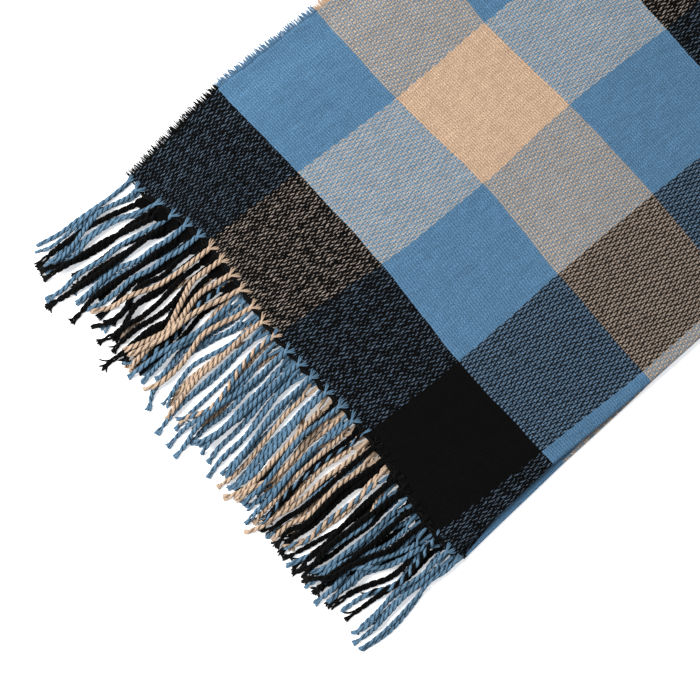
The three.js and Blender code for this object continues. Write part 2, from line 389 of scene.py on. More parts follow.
def woven_check():
    """A four-end broken twill. Each yarn goes over two and under two, and takes its stripe's
    colour whole, so that the checks meet in steps of one yarn."""
    f = Finish("woven check", 0.95, 0.015)
    place = f.place()
    wander = f.noise(place, 3.2)["Color"]
    drift = f.noise(place, 26.0)["Color"]
    moved = f.nudge(place, drift, (2.0, 2.0, 0))
    moved = f.nudge(moved, wander, (0.75, 0.5, 0))
    along, across = f.split(moved)

    weft_at = f.maths("DIVIDE", along, WEFT_PITCH)
    warp_at = f.maths("DIVIDE", across, WARP_PITCH)
    weft_number, weft_share = f.maths("FLOOR", weft_at), f.maths("FRACT", weft_at)
    warp_number, warp_share = f.maths("FLOOR", warp_at), f.maths("FRACT", warp_at)

    def shift_of(number):
        """Which pick a warp yarn first goes over, in the broken order 0, 1, 3, 2."""
        end = f.maths("FLOORED_MODULO", number, 4.0)
        third = f.maths("COMPARE", end, 2.0, 0.5)
        fourth = f.maths("COMPARE", end, 3.0, 0.5)
        return f.subtract(f.add(end, third), fourth)

    def rounded(share):
        """The height of a yarn over its width, from 0 at its sides to 1."""
        from_middle = f.maths("MULTIPLY_ADD", share, 2.0, -1.0)
        return f.subtract(1.0, f.times(from_middle, from_middle))

    def weft_is_over(shift):
        """1 where a pick lies over that warp yarn, and -1 where it lies under."""
        turn = f.maths("FLOORED_MODULO", f.subtract(f.add(weft_number, 0.5), shift), 4.0)
        return f.maths("MULTIPLY_ADD", f.maths("GREATER_THAN", turn, 2.0), 2.0, -1.0)

    shift = shift_of(warp_number)
    quarter = math.pi / 2
    lift = f.maths("COSINE", f.times(f.subtract(f.subtract(weft_at, shift), 1.0), quarter))
    warp_round, weft_round = rounded(warp_share), rounded(weft_share)
    beyond_middle = f.maths("MULTIPLY_ADD", f.maths("GREATER_THAN", warp_share, 0.5), 2.0, -1.0)
    next_shift = shift_of(f.add(warp_number, beyond_middle))
    to_next = f.times(f.subtract(1.0, warp_round), 0.5)
    here, beside = weft_is_over(shift), weft_is_over(next_shift)
    weft_lift = f.add(f.times(here, f.subtract(1.0, to_next)), f.times(beside, to_next))

    warp_stripe = f.stripe_share(warp_number, WARP_PITCH, STRIPE_ACROSS)
    weft_stripe = f.stripe_share(weft_number, WEFT_PITCH, STRIPE_ALONG)
    warp_colour = f.stripes(warp_stripe, WARP_STRIPES)
    weft_colour = f.stripes(weft_stripe, WEFT_STRIPES)
    warp_black, warp_tan = f.split(f.stripes(warp_stripe, WARP_KINDS))
    weft_black, weft_tan = f.split(f.stripes(weft_stripe, WEFT_KINDS))

    # Which yarn shows: the lift and roundness of both, and the dark nap over all.
    score = f.times(f.subtract(lift, weft_lift), 0.72)
    score = f.add(score, f.times(f.subtract(warp_round, weft_round), 0.35))
    score = f.add(score, f.subtract(f.times(warp_black, 0.6), f.times(weft_black, 1.38)))
    beside_black = f.maths("ABSOLUTE", f.subtract(warp_black, weft_black))
    tan_lean = f.subtract(f.times(weft_tan, 0.12), f.times(warp_tan, 0.35))
    score = f.add(score, f.times(tan_lean, f.subtract(1.0, beside_black)))
    score = f.add(score, f.times(f.times(warp_tan, weft_black), 0.02))
    fuzz = f.noise(place, 0.9, 2.0)["Fac"]
    patch = f.noise(place, 5.0, 3.0)["Fac"]
    unsure = f.add(f.times(f.subtract(fuzz, 0.5), 1.8), f.times(f.subtract(patch, 0.5), 1.8))
    float_number = f.maths("FLOOR", f.times(f.add(f.subtract(weft_at, shift), 1.0), 0.25))
    luck = f.chance(f.add(warp_number, 0.5), f.add(float_number, 0.5))
    score = f.add(score, f.add(unsure, f.times(f.subtract(luck, 0.5), 0.6)))
    warp_shows = f.between(score, -0.5, 0.5)

    # Light yarn beside black is greyed by the black nap, and blue and tan yarns fade together.
    one_is_tan = f.maths("ABSOLUTE", f.subtract(warp_tan, weft_tan))
    grey = f.add(f.times(weft_black, 0.14), f.times(one_is_tan, 0.12))
    grey = f.times(beside_black, f.add(grey, 0.27))
    faded = f.times(f.times(one_is_tan, f.subtract(1.0, beside_black)), 0.42)
    blue_on_black = f.times(weft_black, f.subtract(1.0, warp_tan))
    tan_under_black = f.times(warp_black, weft_tan)
    dulled = f.add(f.times(blue_on_black, 0.02), f.times(warp_black, 0.17))
    dulled = f.add(dulled, f.times(tan_under_black, 0.22))
    dulled = f.subtract(1.0, f.times(beside_black, dulled))
    one_float = f.subtract(1.0, f.times(f.times(weft_black, beside_black), f.times(luck, 0.5)))
    dulled = f.times(dulled, f.times(one_float, f.add(f.times(weft_black, 0.2), 1.0)))
    haze = f.mix(warp_tan, (*BLUE_WARP_HAZE, 1), (*TAN_WARP_HAZE, 1))
    warp_tone = f.between(f.chance(warp_number), 0, 1, 0.97, 1.03, smooth=False)
    weft_tone = f.between(f.chance(f.add(weft_number, 0.37)), 0, 1, 0.95, 1.04, smooth=False)
    # Painted shade: each yarn is darker towards its sides, as if its round turned away from the light.
    warp_painted_shade = f.between(warp_round, 0, 1, 0.62, 1.08, smooth=False)
    weft_painted_shade = f.between(weft_round, 0, 1, 0.66, 1.06, smooth=False)

    # Greyed by the black nap, faded towards the haze, and darkened by the yarn's random tone and its
    # painted shade.
    def napped_and_shaded(colour, tone):
        greyed = f.mix(grey, colour, f.grey_of(colour))
        return f.shade(f.mix(faded, greyed, haze), f.times(tone, dulled))

    # Light fibres of the weft lie over a black warp.
    fuzz_over = f.times(f.times(beside_black, warp_black), 0.055)
    warp_final = napped_and_shaded(f.mix(fuzz_over, warp_colour, weft_colour), f.times(warp_tone, warp_painted_shade))
    weft_final = napped_and_shaded(weft_colour, f.times(weft_tone, weft_painted_shade))
    colour = f.mix(warp_shows, weft_final, warp_final)
    colour = f.shade(colour, f.between(luck, 0, 1, 0.9, 1.1, smooth=False))

    mottle = f.between(f.noise(place, 9.0, 4.0, 0.6)["Fac"], 0.3, 0.7, 0.93, 1.07, smooth=False)
    fibre = f.between(f.noise(place, 0.8, 2.0)["Fac"], 0.3, 0.7, 0.50, 1.47, smooth=False)
    # Painted shade in the grooves between the picks, darker at the sides of each weft yarn.
    rib_groove_shade = f.between(weft_round, 0, 0.8, 0.80, 1.04)
    colour = f.shade(colour, f.times(f.times(mottle, fibre), rib_groove_shade))

    warp_height = f.add(f.times(lift, 0.35), f.times(warp_round, 0.5))
    weft_height = f.add(f.times(weft_lift, 0.35), f.times(weft_round, 0.6))
    height = f.maths("SMOOTH_MAX", warp_height, weft_height, 0.2)
    height = f.add(height, f.times(fuzz, 0.5))
    return f.done(colour, height, 0.35, 0.55)


ROUND_MM = 1.4  # a strand's place round it, in millimetres for each radian


def yarn_finish(name, colour, dark_tone_and_groove_shade, relief):
    """Loosely spun yarn. The place on it is the distance along a strand and round it."""
    f = Finish(name, 0.95, 0.03)
    place = f.place()
    along, around = f.split(place)
    # Yarns lie in a strand at a slant, with painted shade in the grooves between them, and painted crevice
    # shade makes the strand darkest where it meets the other strand.
    slant = f.add(around, f.times(along, 0.8))
    yarns = f.maths("SINE", f.times(slant, 2 * math.pi / 1.45))
    stretched = f.join(f.times(slant, 1.6), f.times(along, 0.45))
    fibres = f.noise(stretched, 0.8, 3.0)["Fac"]
    patches = f.noise(place, 5.0, 2.0)["Fac"]
    tone = f.add(f.times(f.subtract(patches, 0.5), 0.7), f.times(f.subtract(fibres, 0.5), 1.5))
    # The twist lines put more of the darker colour in the grooves between the yarns, as painted shade.
    tone = f.add(tone, f.times(yarns, 0.16))
    share = f.between(tone, -0.5, 0.5, 0, 1, smooth=False)
    tint = f.mix(share, (*dark_tone_and_groove_shade, 1), (*colour, 1))
    # Painted crevice shade: the strand is darker round from its outward side, darkest on the side
    # opposite.
    outward = f.maths("COSINE", f.maths("DIVIDE", around, ROUND_MM))
    crevice_shade = f.between(outward, -0.5, 0.7, 0.55, 1.0)
    height = f.add(f.times(yarns, 0.5), fibres)
    return f.done(f.shade(tint, crevice_shade), height, relief, 0.7)


def weft_end_finish():
    f = Finish("weft ends", 0.95, 0.02)
    place = f.place()
    along, across = f.split(place)
    number = f.maths("FLOOR", f.maths("DIVIDE", along, WEFT_PITCH))
    colour = f.stripes(f.stripe_share(number, WEFT_PITCH, STRIPE_ALONG), WEFT_STRIPES)
    fibres = f.noise(f.join(f.times(along, 3.0), across), 0.7, 2.0)["Fac"]
    colour = f.shade(colour, f.between(fibres, 0.3, 0.7, 0.75, 1.15, smooth=False))
    return f.done(colour, fibres, 0.2, 0.5)


WOVEN = woven_check()
# Each yarn has its colour and a darker one, which comes through in random patches and fibres and as
# painted shade in the grooves between its yarns.
YARNS = {
    "blue": yarn_finish("blue yarn", (0.122, 0.224, 0.320), (0.041, 0.083, 0.136), 0.3),
    "tan": yarn_finish("tan yarn", (0.555, 0.410, 0.300), (0.250, 0.174, 0.118), 0.3),
    "black": yarn_finish("black yarn", (0.0022, 0.0022, 0.0025), (0.0007, 0.0007, 0.0008), 0.3),
}
WEFT_ENDS = weft_end_finish()

# ------------------------------------------------------------------ the upper layer
# Soft waves left from folding: where, which way they run, how long and wide, how high.
WAVES = [
    (70, 150, 62, 120, 26, 0.7),
    (160, 60, 20, 90, 22, 0.6),
    (185, 265, -35, 110, 24, 0.8),
    (255, 140, 75, 100, 30, -0.25),
    (30, 290, 85, 70, 16, 0.7),
    (110, 340, 8, 110, 12, 0.9),
    (330, 230, 40, 130, 34, 0.9),
    (420, 90, -28, 120, 30, 0.9),
    (500, 280, 12, 150, 28, 0.8),
    (585, 170, 68, 120, 30, 1.0),
    (660, 70, -15, 110, 26, 0.8),
    (700, 300, 35, 120, 30, 0.9),
    (790, 190, 80, 140, 26, 1.1),
    (845, 90, 70, 90, 18, 0.9),
]


WAVE_SCALE = 1.6
FINE_END = 16  # the length at the fringe that has closer rows
CROSSWISE_TURN = 168  # how far the cloth turns round each fold, in degrees
LENGTHWISE_TURN = 160


def wave_height(along, across):
    height = np.zeros(np.shape(along))
    for a, c, heading, long, wide, high in WAVES:
        turn = math.radians(heading)
        da, dc = along - a, across - c
        with_it = (da * math.cos(turn) + dc * math.sin(turn)) / long
        over_it = (-da * math.sin(turn) + dc * math.cos(turn)) / wide
        height += WAVE_SCALE * high * np.exp(-(with_it**2) - over_it**2)
    return height


def ripples(along, across):
    """Small uneven ripples, a few centimetres from one to the next."""
    return (
        np.sin(along / 17.0 + 1.3 * np.sin(across / 31.0))
        + np.sin(across / 13.0 + 1.1 * np.sin(along / 27.0) + 2.0)
        + np.sin((along + across) / 23.0 + 0.7)
    ) / 3


def softness(along, across):
    """How far the upper layer stands up from a true plane."""
    edge, end = np.exp(-across / 7.0), np.exp(-along / 9.0)
    soft = wave_height(along, across) + 0.12 * ripples(along, across)
    soft = soft + edge * (0.35 + 0.35 * np.sin(along / 21.0) + 0.25 * np.sin(along / 8.3 + 1.0))
    return soft + end * (0.25 + 0.3 * np.sin(across / 9.0))


def pulled(along, across):
    """How far each tassel pulls the end of the cloth out."""
    roots = np.array([tassel[2][1] for tassel in UPPER_TASSELS])
    out = np.exp(-(((across[..., None] - roots) / 2.6) ** 2)).sum(axis=-1)
    return (1.9 * np.clip(out, 0, 1) - 0.5) * np.exp(-along / 3.5)


def upper_cloth():
    rows_end, rows_flat, rows_round = 14, 150, 12
    columns_flat, columns_round = 168, 9
    end_share = FINE_END / FOLDED_LENGTH
    fine = np.linspace(0, end_share, rows_end, endpoint=False)
    row_share = np.concatenate([fine, np.linspace(end_share, 1, rows_flat)])
    rows_flat += rows_end
    row_share = np.concatenate([row_share, np.ones(rows_round)])
    turned = np.radians(CROSSWISE_TURN) * np.linspace(0, 1, rows_round + 1)[1:]
    theta = np.concatenate([np.zeros(rows_flat), turned])
    column_share = np.concatenate([np.linspace(0, 1, columns_flat), np.ones(columns_round)])
    turned = np.radians(LENGTHWISE_TURN) * np.linspace(0, 1, columns_round + 1)[1:]
    psi = np.concatenate([np.zeros(columns_flat), turned])
    share_a, share_c = np.meshgrid(row_share, column_share, indexing="ij")
    theta, psi = np.meshgrid(theta, psi, indexing="ij")

    nominal = share_a * (FOLDED_LENGTH - 2 * FOLD_RADIUS)
    fold = fold_at(nominal)
    across_flat = share_c * (fold - FOLD_RADIUS)
    radius = top_of_cloth(across_flat) / 2
    along_flat = share_a * (FOLDED_LENGTH - radius)
    out = FOLD_RADIUS * np.cos(psi)
    across = across_flat + FOLD_RADIUS * np.sin(psi)
    swung = radius - FOLD_RADIUS + out
    along = along_flat + swung * np.sin(theta)
    height = radius + swung * np.cos(theta)

    lying = np.cos(theta / 2) ** 2 * np.cos(psi / 2) ** 2
    edge = np.exp(-across / 7.0)
    height += softness(along, across) * lying
    x, y = lie_of(along, across)
    y = y + edge * (0.5 * np.sin(along / 11.0) + 0.35 * np.sin(along / 4.7))
    x = x - pulled(along, across)
    points = np.stack([x, y, height], axis=-1)
    places = np.stack([along_flat + radius * theta, across_flat + FOLD_RADIUS * psi], axis=-1)
    piece = mesh_piece("upper_cloth", points, [grid_faces(*share_a.shape)], places, WOVEN)

    wall = piece.modifiers.new("wall", "SOLIDIFY")
    wall.thickness = WALL * MM
    wall.offset = -1
    bpy.context.view_layer.objects.active = piece
    bpy.ops.object.modifier_apply(modifier="wall")
    return piece


# ------------------------------------------------------------------ the layers below
def rounded_in(z, low, high):
    radius = (high - low) / 2
    from_middle = (z - low - radius) / radius
    return radius * (1 - math.sqrt(max(1 - from_middle**2, 0)))


def hidden_outline(z, tuck=2.5):
    """(end, far, side, fold) of the three hidden layers at one height."""
    layer = min(int(z / LEVEL + TINY), 2)
    in_layer = z - layer * LEVEL
    grooved = in_layer > CLOTH + TINY
    edge_in = tuck if grooved else rounded_in(in_layer, 0, CLOTH)
    cut = layer + 1 if grooved else layer
    lower = z < PAIR + TINY
    inner = z > LEVEL - TINY
    if inner:
        far = FOLDED_LENGTH - 2 * LEVEL - rounded_in(z, LEVEL, LEVEL + PAIR)
    else:
        far = FOLDED_LENGTH - LEVEL - edge_in

    def fold(along):
        if lower:
            return lower_fold_at(along) - rounded_in(z, 0, PAIR)
        return fold_at(along) - LEVEL - edge_in

    return HIDDEN_END[cut] + edge_in, far, HIDDEN_SIDE[cut] + edge_in, fold


def layers_below():
    in_layer = [0, 0.05, 0.15, 0.3, 0.5, 0.7, 0.85, 0.95, 1]
    heights = []
    for layer in range(3):
        heights += [share * CLOTH + layer * LEVEL for share in in_layer]
        heights.append((layer + 1) * LEVEL - 0.15)
    heights = heights[:-1]
    row_share = np.linspace(0, 1, 161)
    column_share = np.linspace(0, 1, 61)
    share_a, share_c = np.meshgrid(row_share, column_share, indexing="ij")

    def sheet(z):
        end, far, side, fold = hidden_outline(z)
        along = end + share_a * (far - end)
        across = side + share_c * (fold(along) - side)
        x, y = lie_of(along, across)
        starts = LOWER_PAIR_STARTS if z < PAIR + TINY else UPPER_PAIR_STARTS
        places = np.stack([along + starts + z, across + z], axis=-1)
        return np.stack([x, y, np.full(x.shape, z)], axis=-1), places

    rows, columns = share_a.shape
    number = np.arange(rows * columns).reshape(rows, columns)
    rim = np.concatenate(
        [number[0, :-1], number[:-1, -1], number[-1, :0:-1], number[:0:-1, 0]]
    )
    sheets = [sheet(z) for z in heights]
    points = [sheets[0][0].reshape(-1, 3)]
    places = [sheets[0][1].reshape(-1, 2)]
    loops = [rim]
    count = rows * columns
    for at, place in sheets[1:-1]:
        points.append(at.reshape(-1, 3)[rim])
        places.append(place.reshape(-1, 2)[rim])
        loops.append(count + np.arange(len(rim)))
        count += len(rim)
    points.append(sheets[-1][0].reshape(-1, 3))
    places.append(sheets[-1][1].reshape(-1, 2))
    loops.append(count + rim)

    quads = [grid_faces(rows, columns)[:, ::-1], grid_faces(rows, columns, count)]
    for low, high in zip(loops, loops[1:]):
        quads.append(np.stack([low, np.roll(low, -1), np.roll(high, -1), high], axis=1))
    points, places = np.concatenate(points), np.concatenate(places)
    return mesh_piece("layers_below", points, [np.concatenate(quads)], places, WOVEN)


# ------------------------------------------------------------------ the fringe
PLAIN_FORK = 2.9


def with_plain_forks(rows):
    return [(colours, PLAIN_FORK, *places) for colours, *places in rows]


def strand_colours(colours):
    """The colours of a tassel's two strands, named once where they are the same."""
    names = colours.split()
    return names[0], names[-1]


# Tassels of the upper layer and of the one under it, given one by one: the colours of the two strands,
# half the width of the forked root, and places down the tassel as (past the fringe, across).
UPPER_TASSELS = [
    ("blue", 1.6, (-6, 9.5), (-20, 10), (-50, 10), (-70, 11), (-80, 10), (-89, 6)),
    ("blue", 3.6, (0, 18), (-14, 18), (-28, 15), (-40, 14), (-55, 17), (-66, 20), (-78, 21), (-86, 18)),
    ("blue", 2.0, (0, 36), (-10, 33), (-20, 30), (-32, 26), (-45, 24), (-57, 24), (-68, 26),
        (-80, 25), (-92, 21)),
    ("blue", 2.6, (0, 49), (-10, 47), (-25, 44), (-40, 41), (-55, 41), (-65, 39), (-78, 38),
        (-91, 39), (-105, 37)),
    ("blue", 2.6, (0, 60), (-10, 60), (-25, 58), (-38, 57), (-50, 53), (-62, 52), (-78, 53), (-90, 53)),
    ("blue", 2.6, (0, 72), (-10, 71), (-20, 69), (-35, 68), (-48, 65), (-62, 65), (-78, 64), (-87, 61)),
    ("tan", 3.6, (4, 84), (-10, 83), (-25, 82), (-38, 80), (-50, 76), (-59, 73), (-69, 72), (-77, 69),
        (-86, 64)),
    ("tan", 3.4, (4, 96), (-8, 94), (-17, 94), (-27, 98), (-38, 103), (-49, 108), (-60, 110),
        (-75, 111), (-90, 113)),
    ("tan", 3.4, (4, 109), (-8, 105), (-20, 104), (-32, 107), (-44, 110), (-56, 109), (-68, 106),
        (-78, 103), (-86, 100)),
    ("tan", 3.6, (4, 122), (-8, 117), (-20, 114), (-32, 112), (-45, 112), (-58, 112), (-70, 109),
        (-80, 107), (-86, 105)),
    ("tan", 3.4, (4, 136), (-8, 133), (-20, 130), (-35, 128), (-48, 131), (-60, 134), (-75, 135),
        (-84, 134), (-92, 131)),
    ("tan", 4.0, (4, 148), (-10, 147), (-25, 148), (-40, 149), (-55, 149), (-68, 151), (-80, 154),
        (-93, 157)),
    ("tan blue", 2.6, (3, 161), (-10, 160), (-20, 161), (-32, 164), (-45, 168), (-57, 171),
        (-68, 171), (-78, 167), (-88, 164)),
    ("blue", 3.4, (3, 175), (-10, 175), (-22, 176), (-38, 176), (-55, 174), (-70, 174), (-85, 177),
        (-95, 180), (-106, 182)),
    ("blue", 3.4, (3, 188), (-10, 187), (-25, 188), (-45, 189), (-60, 189), (-75, 188), (-89, 184)),
    ("blue", 3.0, (4, 200), (-10, 201), (-25, 202), (-36, 204), (-50, 207), (-62, 210), (-75, 214),
        (-87, 217)),
    ("blue", 3.6, (6, 215), (-8, 216), (-22, 218), (-38, 221), (-55, 224), (-70, 227), (-88, 226)),
    ("blue", 3.4, (6, 229), (-8, 229), (-25, 228), (-38, 230), (-50, 233), (-62, 236), (-76, 238),
        (-90, 238)),
    ("blue", 4.0, (5, 243), (-10, 242), (-25, 240), (-42, 242), (-58, 245), (-72, 248), (-85, 249),
        (-97, 251)),
    ("blue black", 2.0, (4, 254), (-5, 255), (-15, 253), (-27, 252), (-40, 252), (-55, 252),
        (-68, 254), (-80, 257), (-90, 257)),
    ("black", 3.0, (3, 267), (-20, 267), (-40, 268), (-60, 268), (-75, 266), (-91, 265)),
    ("black", 3.0, (2, 279), (-15, 277), (-30, 275), (-50, 277), (-65, 278), (-78, 274), (-91, 277)),
    ("black", 3.0, (2, 294), (-20, 294), (-40, 296), (-60, 298), (-76, 298), (-88, 301)),
    ("black", 3.0, (1, 305), (-15, 303), (-30, 302), (-50, 301), (-66, 301), (-78, 304), (-90, 305)),
    ("black", 3.0, (0, 320), (-20, 318), (-40, 319), (-60, 318), (-76, 317), (-91, 321)),
    ("black", 3.0, (0, 332), (-15, 331), (-30, 330), (-45, 325), (-60, 321), (-73, 319), (-84, 312),
        (-91, 307)),
    ("black blue", 2.6, (0, 345), (-6, 346), (-16, 349), (-26, 351), (-36, 353), (-47, 352),
        (-56, 347), (-66, 345)),
    ("blue", 3.4, (0, 357), (-12, 358), (-28, 359), (-40, 357), (-52, 357), (-65, 360), (-78, 362),
        (-89, 360)),
    ("blue", 1.6, (0, 366), (-10, 368), (-22, 366), (-32, 368), (-45, 370), (-60, 372), (-75, 373),
        (-92, 372)),
]
SECOND_TASSELS = [
    ("black", 2.9, (-2, 33), (-12, 26), (-25, 22), (-38, 19), (-50, 16), (-65, 15), (-80, 14), (-95, 14)),
    ("black", 2.9, (-2, 53), (-15, 50), (-30, 49), (-45, 48), (-60, 47), (-75, 46), (-90, 44), (-108, 41)),
    ("black", 2.9, (-2, 65), (-15, 62), (-35, 62), (-50, 60), (-65, 58), (-80, 58), (-101, 61)),
    ("black", 2.9, (-2, 77), (-15, 76), (-30, 77), (-45, 73), (-58, 75), (-70, 80), (-82, 78), (-92, 73)),
    ("black", 2.9, (-1, 89), (-15, 87), (-30, 88), (-45, 90), (-60, 90), (-72, 88), (-85, 87), (-96, 84)),
    ("black", 2.9, (0, 99), (-15, 99), (-30, 103), (-42, 106), (-52, 103), (-62, 101), (-76, 101),
        (-90, 101), (-105, 99)),
    ("blue black", 2.9, (0, 112), (-12, 110), (-26, 110), (-38, 113), (-50, 116), (-64, 116),
        (-80, 113), (-92, 107)),
    ("blue", 2.9, (0, 124), (-20, 124), (-35, 124), (-50, 122), (-65, 119), (-80, 118), (-95, 117)),
    ("blue", 2.9, (0, 139), (-18, 138), (-32, 134), (-44, 131), (-54, 128), (-66, 130), (-78, 132),
        (-90, 137), (-99, 144)),
    ("blue", 2.9, (-1, 153), (-20, 153), (-40, 154), (-60, 155), (-76, 156), (-92, 158), (-105, 161)),
    ("blue", 2.9, (0, 168), (-20, 168), (-40, 170), (-60, 173), (-75, 172), (-90, 171), (-105, 173)),
    ("blue", 2.9, (0, 181), (-15, 183), (-30, 184), (-50, 186), (-62, 188), (-76, 189), (-90, 192)),
    ("blue", 2.9, (0, 193), (-18, 194), (-32, 197), (-48, 201), (-62, 203), (-80, 204), (-97, 208)),
    ("tan", 2.9, (1, 205), (-12, 208), (-25, 209), (-40, 212), (-55, 215), (-70, 218), (-85, 219),
        (-96, 218)),
    ("tan", 2.9, (2, 220), (-10, 223), (-25, 225), (-40, 227), (-55, 229), (-70, 231), (-85, 231),
        (-98, 227)),
    ("tan", 2.9, (2, 232), (-14, 232), (-27, 233), (-40, 236), (-52, 238), (-64, 238), (-78, 234),
        (-92, 234)),
    ("tan", 2.9, (2, 246), (-15, 247), (-30, 247), (-50, 248), (-65, 251), (-80, 252), (-93, 254)),
    ("tan", 2.9, (2, 258), (-15, 257), (-30, 255), (-45, 257), (-60, 259), (-73, 260), (-86, 260),
        (-102, 256)),
    ("tan", 2.9, (2, 264), (-18, 263), (-35, 262), (-50, 263), (-63, 263), (-77, 260), (-90, 257)),
    ("tan", 2.9, (2, 273), (-15, 273), (-30, 272), (-45, 273), (-60, 275), (-75, 271), (-90, 272)),
    ("tan blue", 2.9, (1, 287), (-15, 288), (-30, 288), (-45, 287), (-60, 287), (-72, 288),
        (-81, 284), (-88, 281)),
    ("blue", 2.9, (0, 299), (-14, 300), (-30, 305), (-48, 304), (-62, 302), (-78, 297), (-94, 293)),
    ("blue", 2.9, (0, 313), (-15, 312), (-30, 313), (-45, 313), (-60, 312), (-74, 311), (-86, 306)),
    ("blue", 2.9, (0, 326), (-12, 327), (-28, 327), (-42, 323), (-58, 317), (-74, 314), (-94, 313)),
    ("blue", 2.9, (0, 338), (-15, 339), (-28, 336), (-42, 330), (-54, 328), (-66, 330), (-80, 331),
        (-88, 332)),
    ("blue", 2.0, (0, 350), (-15, 343), (-30, 341), (-42, 337), (-51, 329), (-60, 323), (-70, 324),
        (-82, 326), (-96, 326)),
    ("blue", 2.0, (0, 361), (-14, 362), (-28, 363), (-45, 363), (-60, 365), (-78, 367), (-93, 366)),
]
# Some of the layer under that, where they show between the others.
THIRD_TASSELS = with_plain_forks(
    [
        ("black", (-1, 70), (-15, 70), (-30, 70), (-45, 68), (-58, 68), (-70, 70), (-84, 70)),
        ("black", (-1, 83), (-15, 82), (-28, 83), (-42, 82), (-56, 81), (-70, 85), (-86, 90)),
        ("black", (0, 94), (-14, 93), (-28, 95), (-42, 97), (-56, 96), (-70, 94), (-92, 95)),
        ("black", (0, 106), (-14, 106), (-26, 108), (-40, 108), (-54, 105), (-68, 104), (-92, 106)),
        ("black", (0, 118), (-14, 117), (-28, 116), (-42, 119), (-56, 121), (-70, 120), (-86, 119)),
        ("blue", (0, 131), (-14, 130), (-28, 129), (-42, 126), (-56, 123), (-70, 124), (-90, 126)),
        ("blue", (0, 146), (-14, 146), (-28, 145), (-42, 142), (-56, 140), (-70, 143), (-88, 149)),
        ("blue", (0, 160), (-14, 161), (-30, 162), (-46, 163), (-62, 164), (-78, 165), (-93, 167)),
        ("blue", (0, 174), (-14, 176), (-30, 177), (-46, 180), (-62, 181), (-78, 180), (-91, 182)),
        ("blue", (0, 187), (-14, 189), (-30, 191), (-46, 194), (-62, 196), (-78, 197), (-90, 200)),
        ("blue", (0, 200), (-14, 202), (-30, 205), (-46, 207), (-62, 210), (-78, 212), (-88, 213)),
        ("blue", (0, 213), (-14, 214), (-30, 217), (-46, 220), (-62, 222), (-78, 225), (-91, 224)),
        ("black", (0, 226), (-14, 228), (-30, 229), (-46, 232), (-62, 234), (-78, 232), (-88, 230)),
        ("blue", (0, 239), (-14, 240), (-30, 241), (-46, 243), (-62, 245), (-78, 244), (-90, 243)),
        ("black", (0, 252), (-14, 251), (-30, 250), (-46, 252), (-62, 255), (-78, 256), (-92, 262)),
        ("blue", (0, 268), (-14, 269), (-30, 267), (-46, 267), (-62, 268), (-78, 266), (-92, 268)),
        ("black", (0, 281), (-14, 281), (-30, 280), (-46, 281), (-62, 282), (-78, 280), (-92, 283)),
        ("black", (0, 292), (-14, 294), (-30, 297), (-46, 297), (-62, 294), (-78, 291), (-92, 288)),
        ("black", (0, 303), (-14, 306), (-30, 308), (-46, 307), (-62, 307), (-78, 305), (-94, 300)),
        ("black", (0, 314), (-14, 318), (-30, 320), (-46, 319), (-62, 315), (-78, 312), (-92, 309)),
        ("black", (0, 326), (-14, 331), (-30, 332), (-46, 328), (-62, 323), (-78, 322), (-90, 319)),
        ("black", (0, 337), (-14, 341), (-30, 346), (-44, 346), (-58, 341), (-72, 337), (-88, 336)),
        ("black", (0, 350), (-14, 352), (-30, 354), (-44, 353), (-58, 351), (-72, 350), (-86, 349)),
    ]
)
# Two of the second layer that have been swept over the others.
LAST_TASSELS = with_plain_forks(
    [
        ("black", (-2, 42), (-15, 36), (-30, 34), (-45, 34), (-60, 32), (-72, 29), (-83, 24), (-95, 18)),
        ("black", (-2, 45), (-15, 40), (-30, 36), (-45, 32), (-58, 30), (-70, 29), (-83, 27), (-97, 25)),
    ]
)
# How a tassel starts: how its fork spreads, half the width of a strand there, and its length.
NEAT_ROOT = (0.75, 1.3, 6.0)
LOOSE_ROOT = (1.0, 2.5, 19.0)
# The plan of the pile of tassels, in cells of a millimetre, that holds how high each cell is.
PILE_REACH_X = (-130.0, 30.0)
PILE_REACH_Y = (-25.0, 400.0)
ROPE_HALF = 1.25  # how far a tassel's middle settles above what it lies on
ROPE_TOUCH = 1.6  # how far to each side of its middle it feels what is under it
ROPE_SPAN = 2.4  # how far to each side of its middle it adds to the pile
ROPE_CROWN = 0.65  # how much higher the pile is at its middle
ROPE_LOWEST = 1.4
ROPE_STEEPEST = 0.42
JUST_OVER_FLOOR = 0.05
TWIST_SHORTEST = 8.4
TWIST_LONGEST = 12.4
THIN_FORK = 1.8  # a tassel with a narrower fork is a thin one
STRAND_OUT = 0.89  # from the middle of a tassel to the middle of a strand
STRAND_THICK = 1.02
STRAND_WIDE = 1.44
YARN_RADIUS = 0.6

chance = np.random.default_rng(20)
pile = np.zeros([int(reach[1] - reach[0]) + 1 for reach in (PILE_REACH_X, PILE_REACH_Y)])


def cells_round(reach):
    span = int(math.ceil(reach))
    a, b = np.meshgrid(np.arange(-span, span + 1), np.arange(-span, span + 1), indexing="ij")
    away = np.hypot(a, b)
    inside = away <= reach
    return a[inside], b[inside], away[inside]


def pile_cells(plan, reach):
    a, b, away = cells_round(reach)
    i = np.round(plan[:, 0] - PILE_REACH_X[0]).astype(int)[:, None] + a
    j = np.round(plan[:, 1] - PILE_REACH_Y[0]).astype(int)[:, None] + b
    return np.clip(i, 0, pile.shape[0] - 1), np.clip(j, 0, pile.shape[1] - 1), away


def smooth_route(places, step=1.0):
    """A curve through the places, with points a step apart."""
    places = np.asarray(places, float)
    at = np.linspace(0, len(places) - 1, 40 * len(places))
    curve = np.stack([through_values(list(places[:, k]), at) for k in range(2)], axis=1)
    gone = np.concatenate([[0], np.cumsum(np.hypot(*np.diff(curve, axis=0).T))])
    count = int(round(gone[-1] / step)) + 1
    even = np.linspace(0, gone[-1], count)
    return np.stack([np.interp(even, gone, curve[:, k]) for k in range(2)], axis=1)


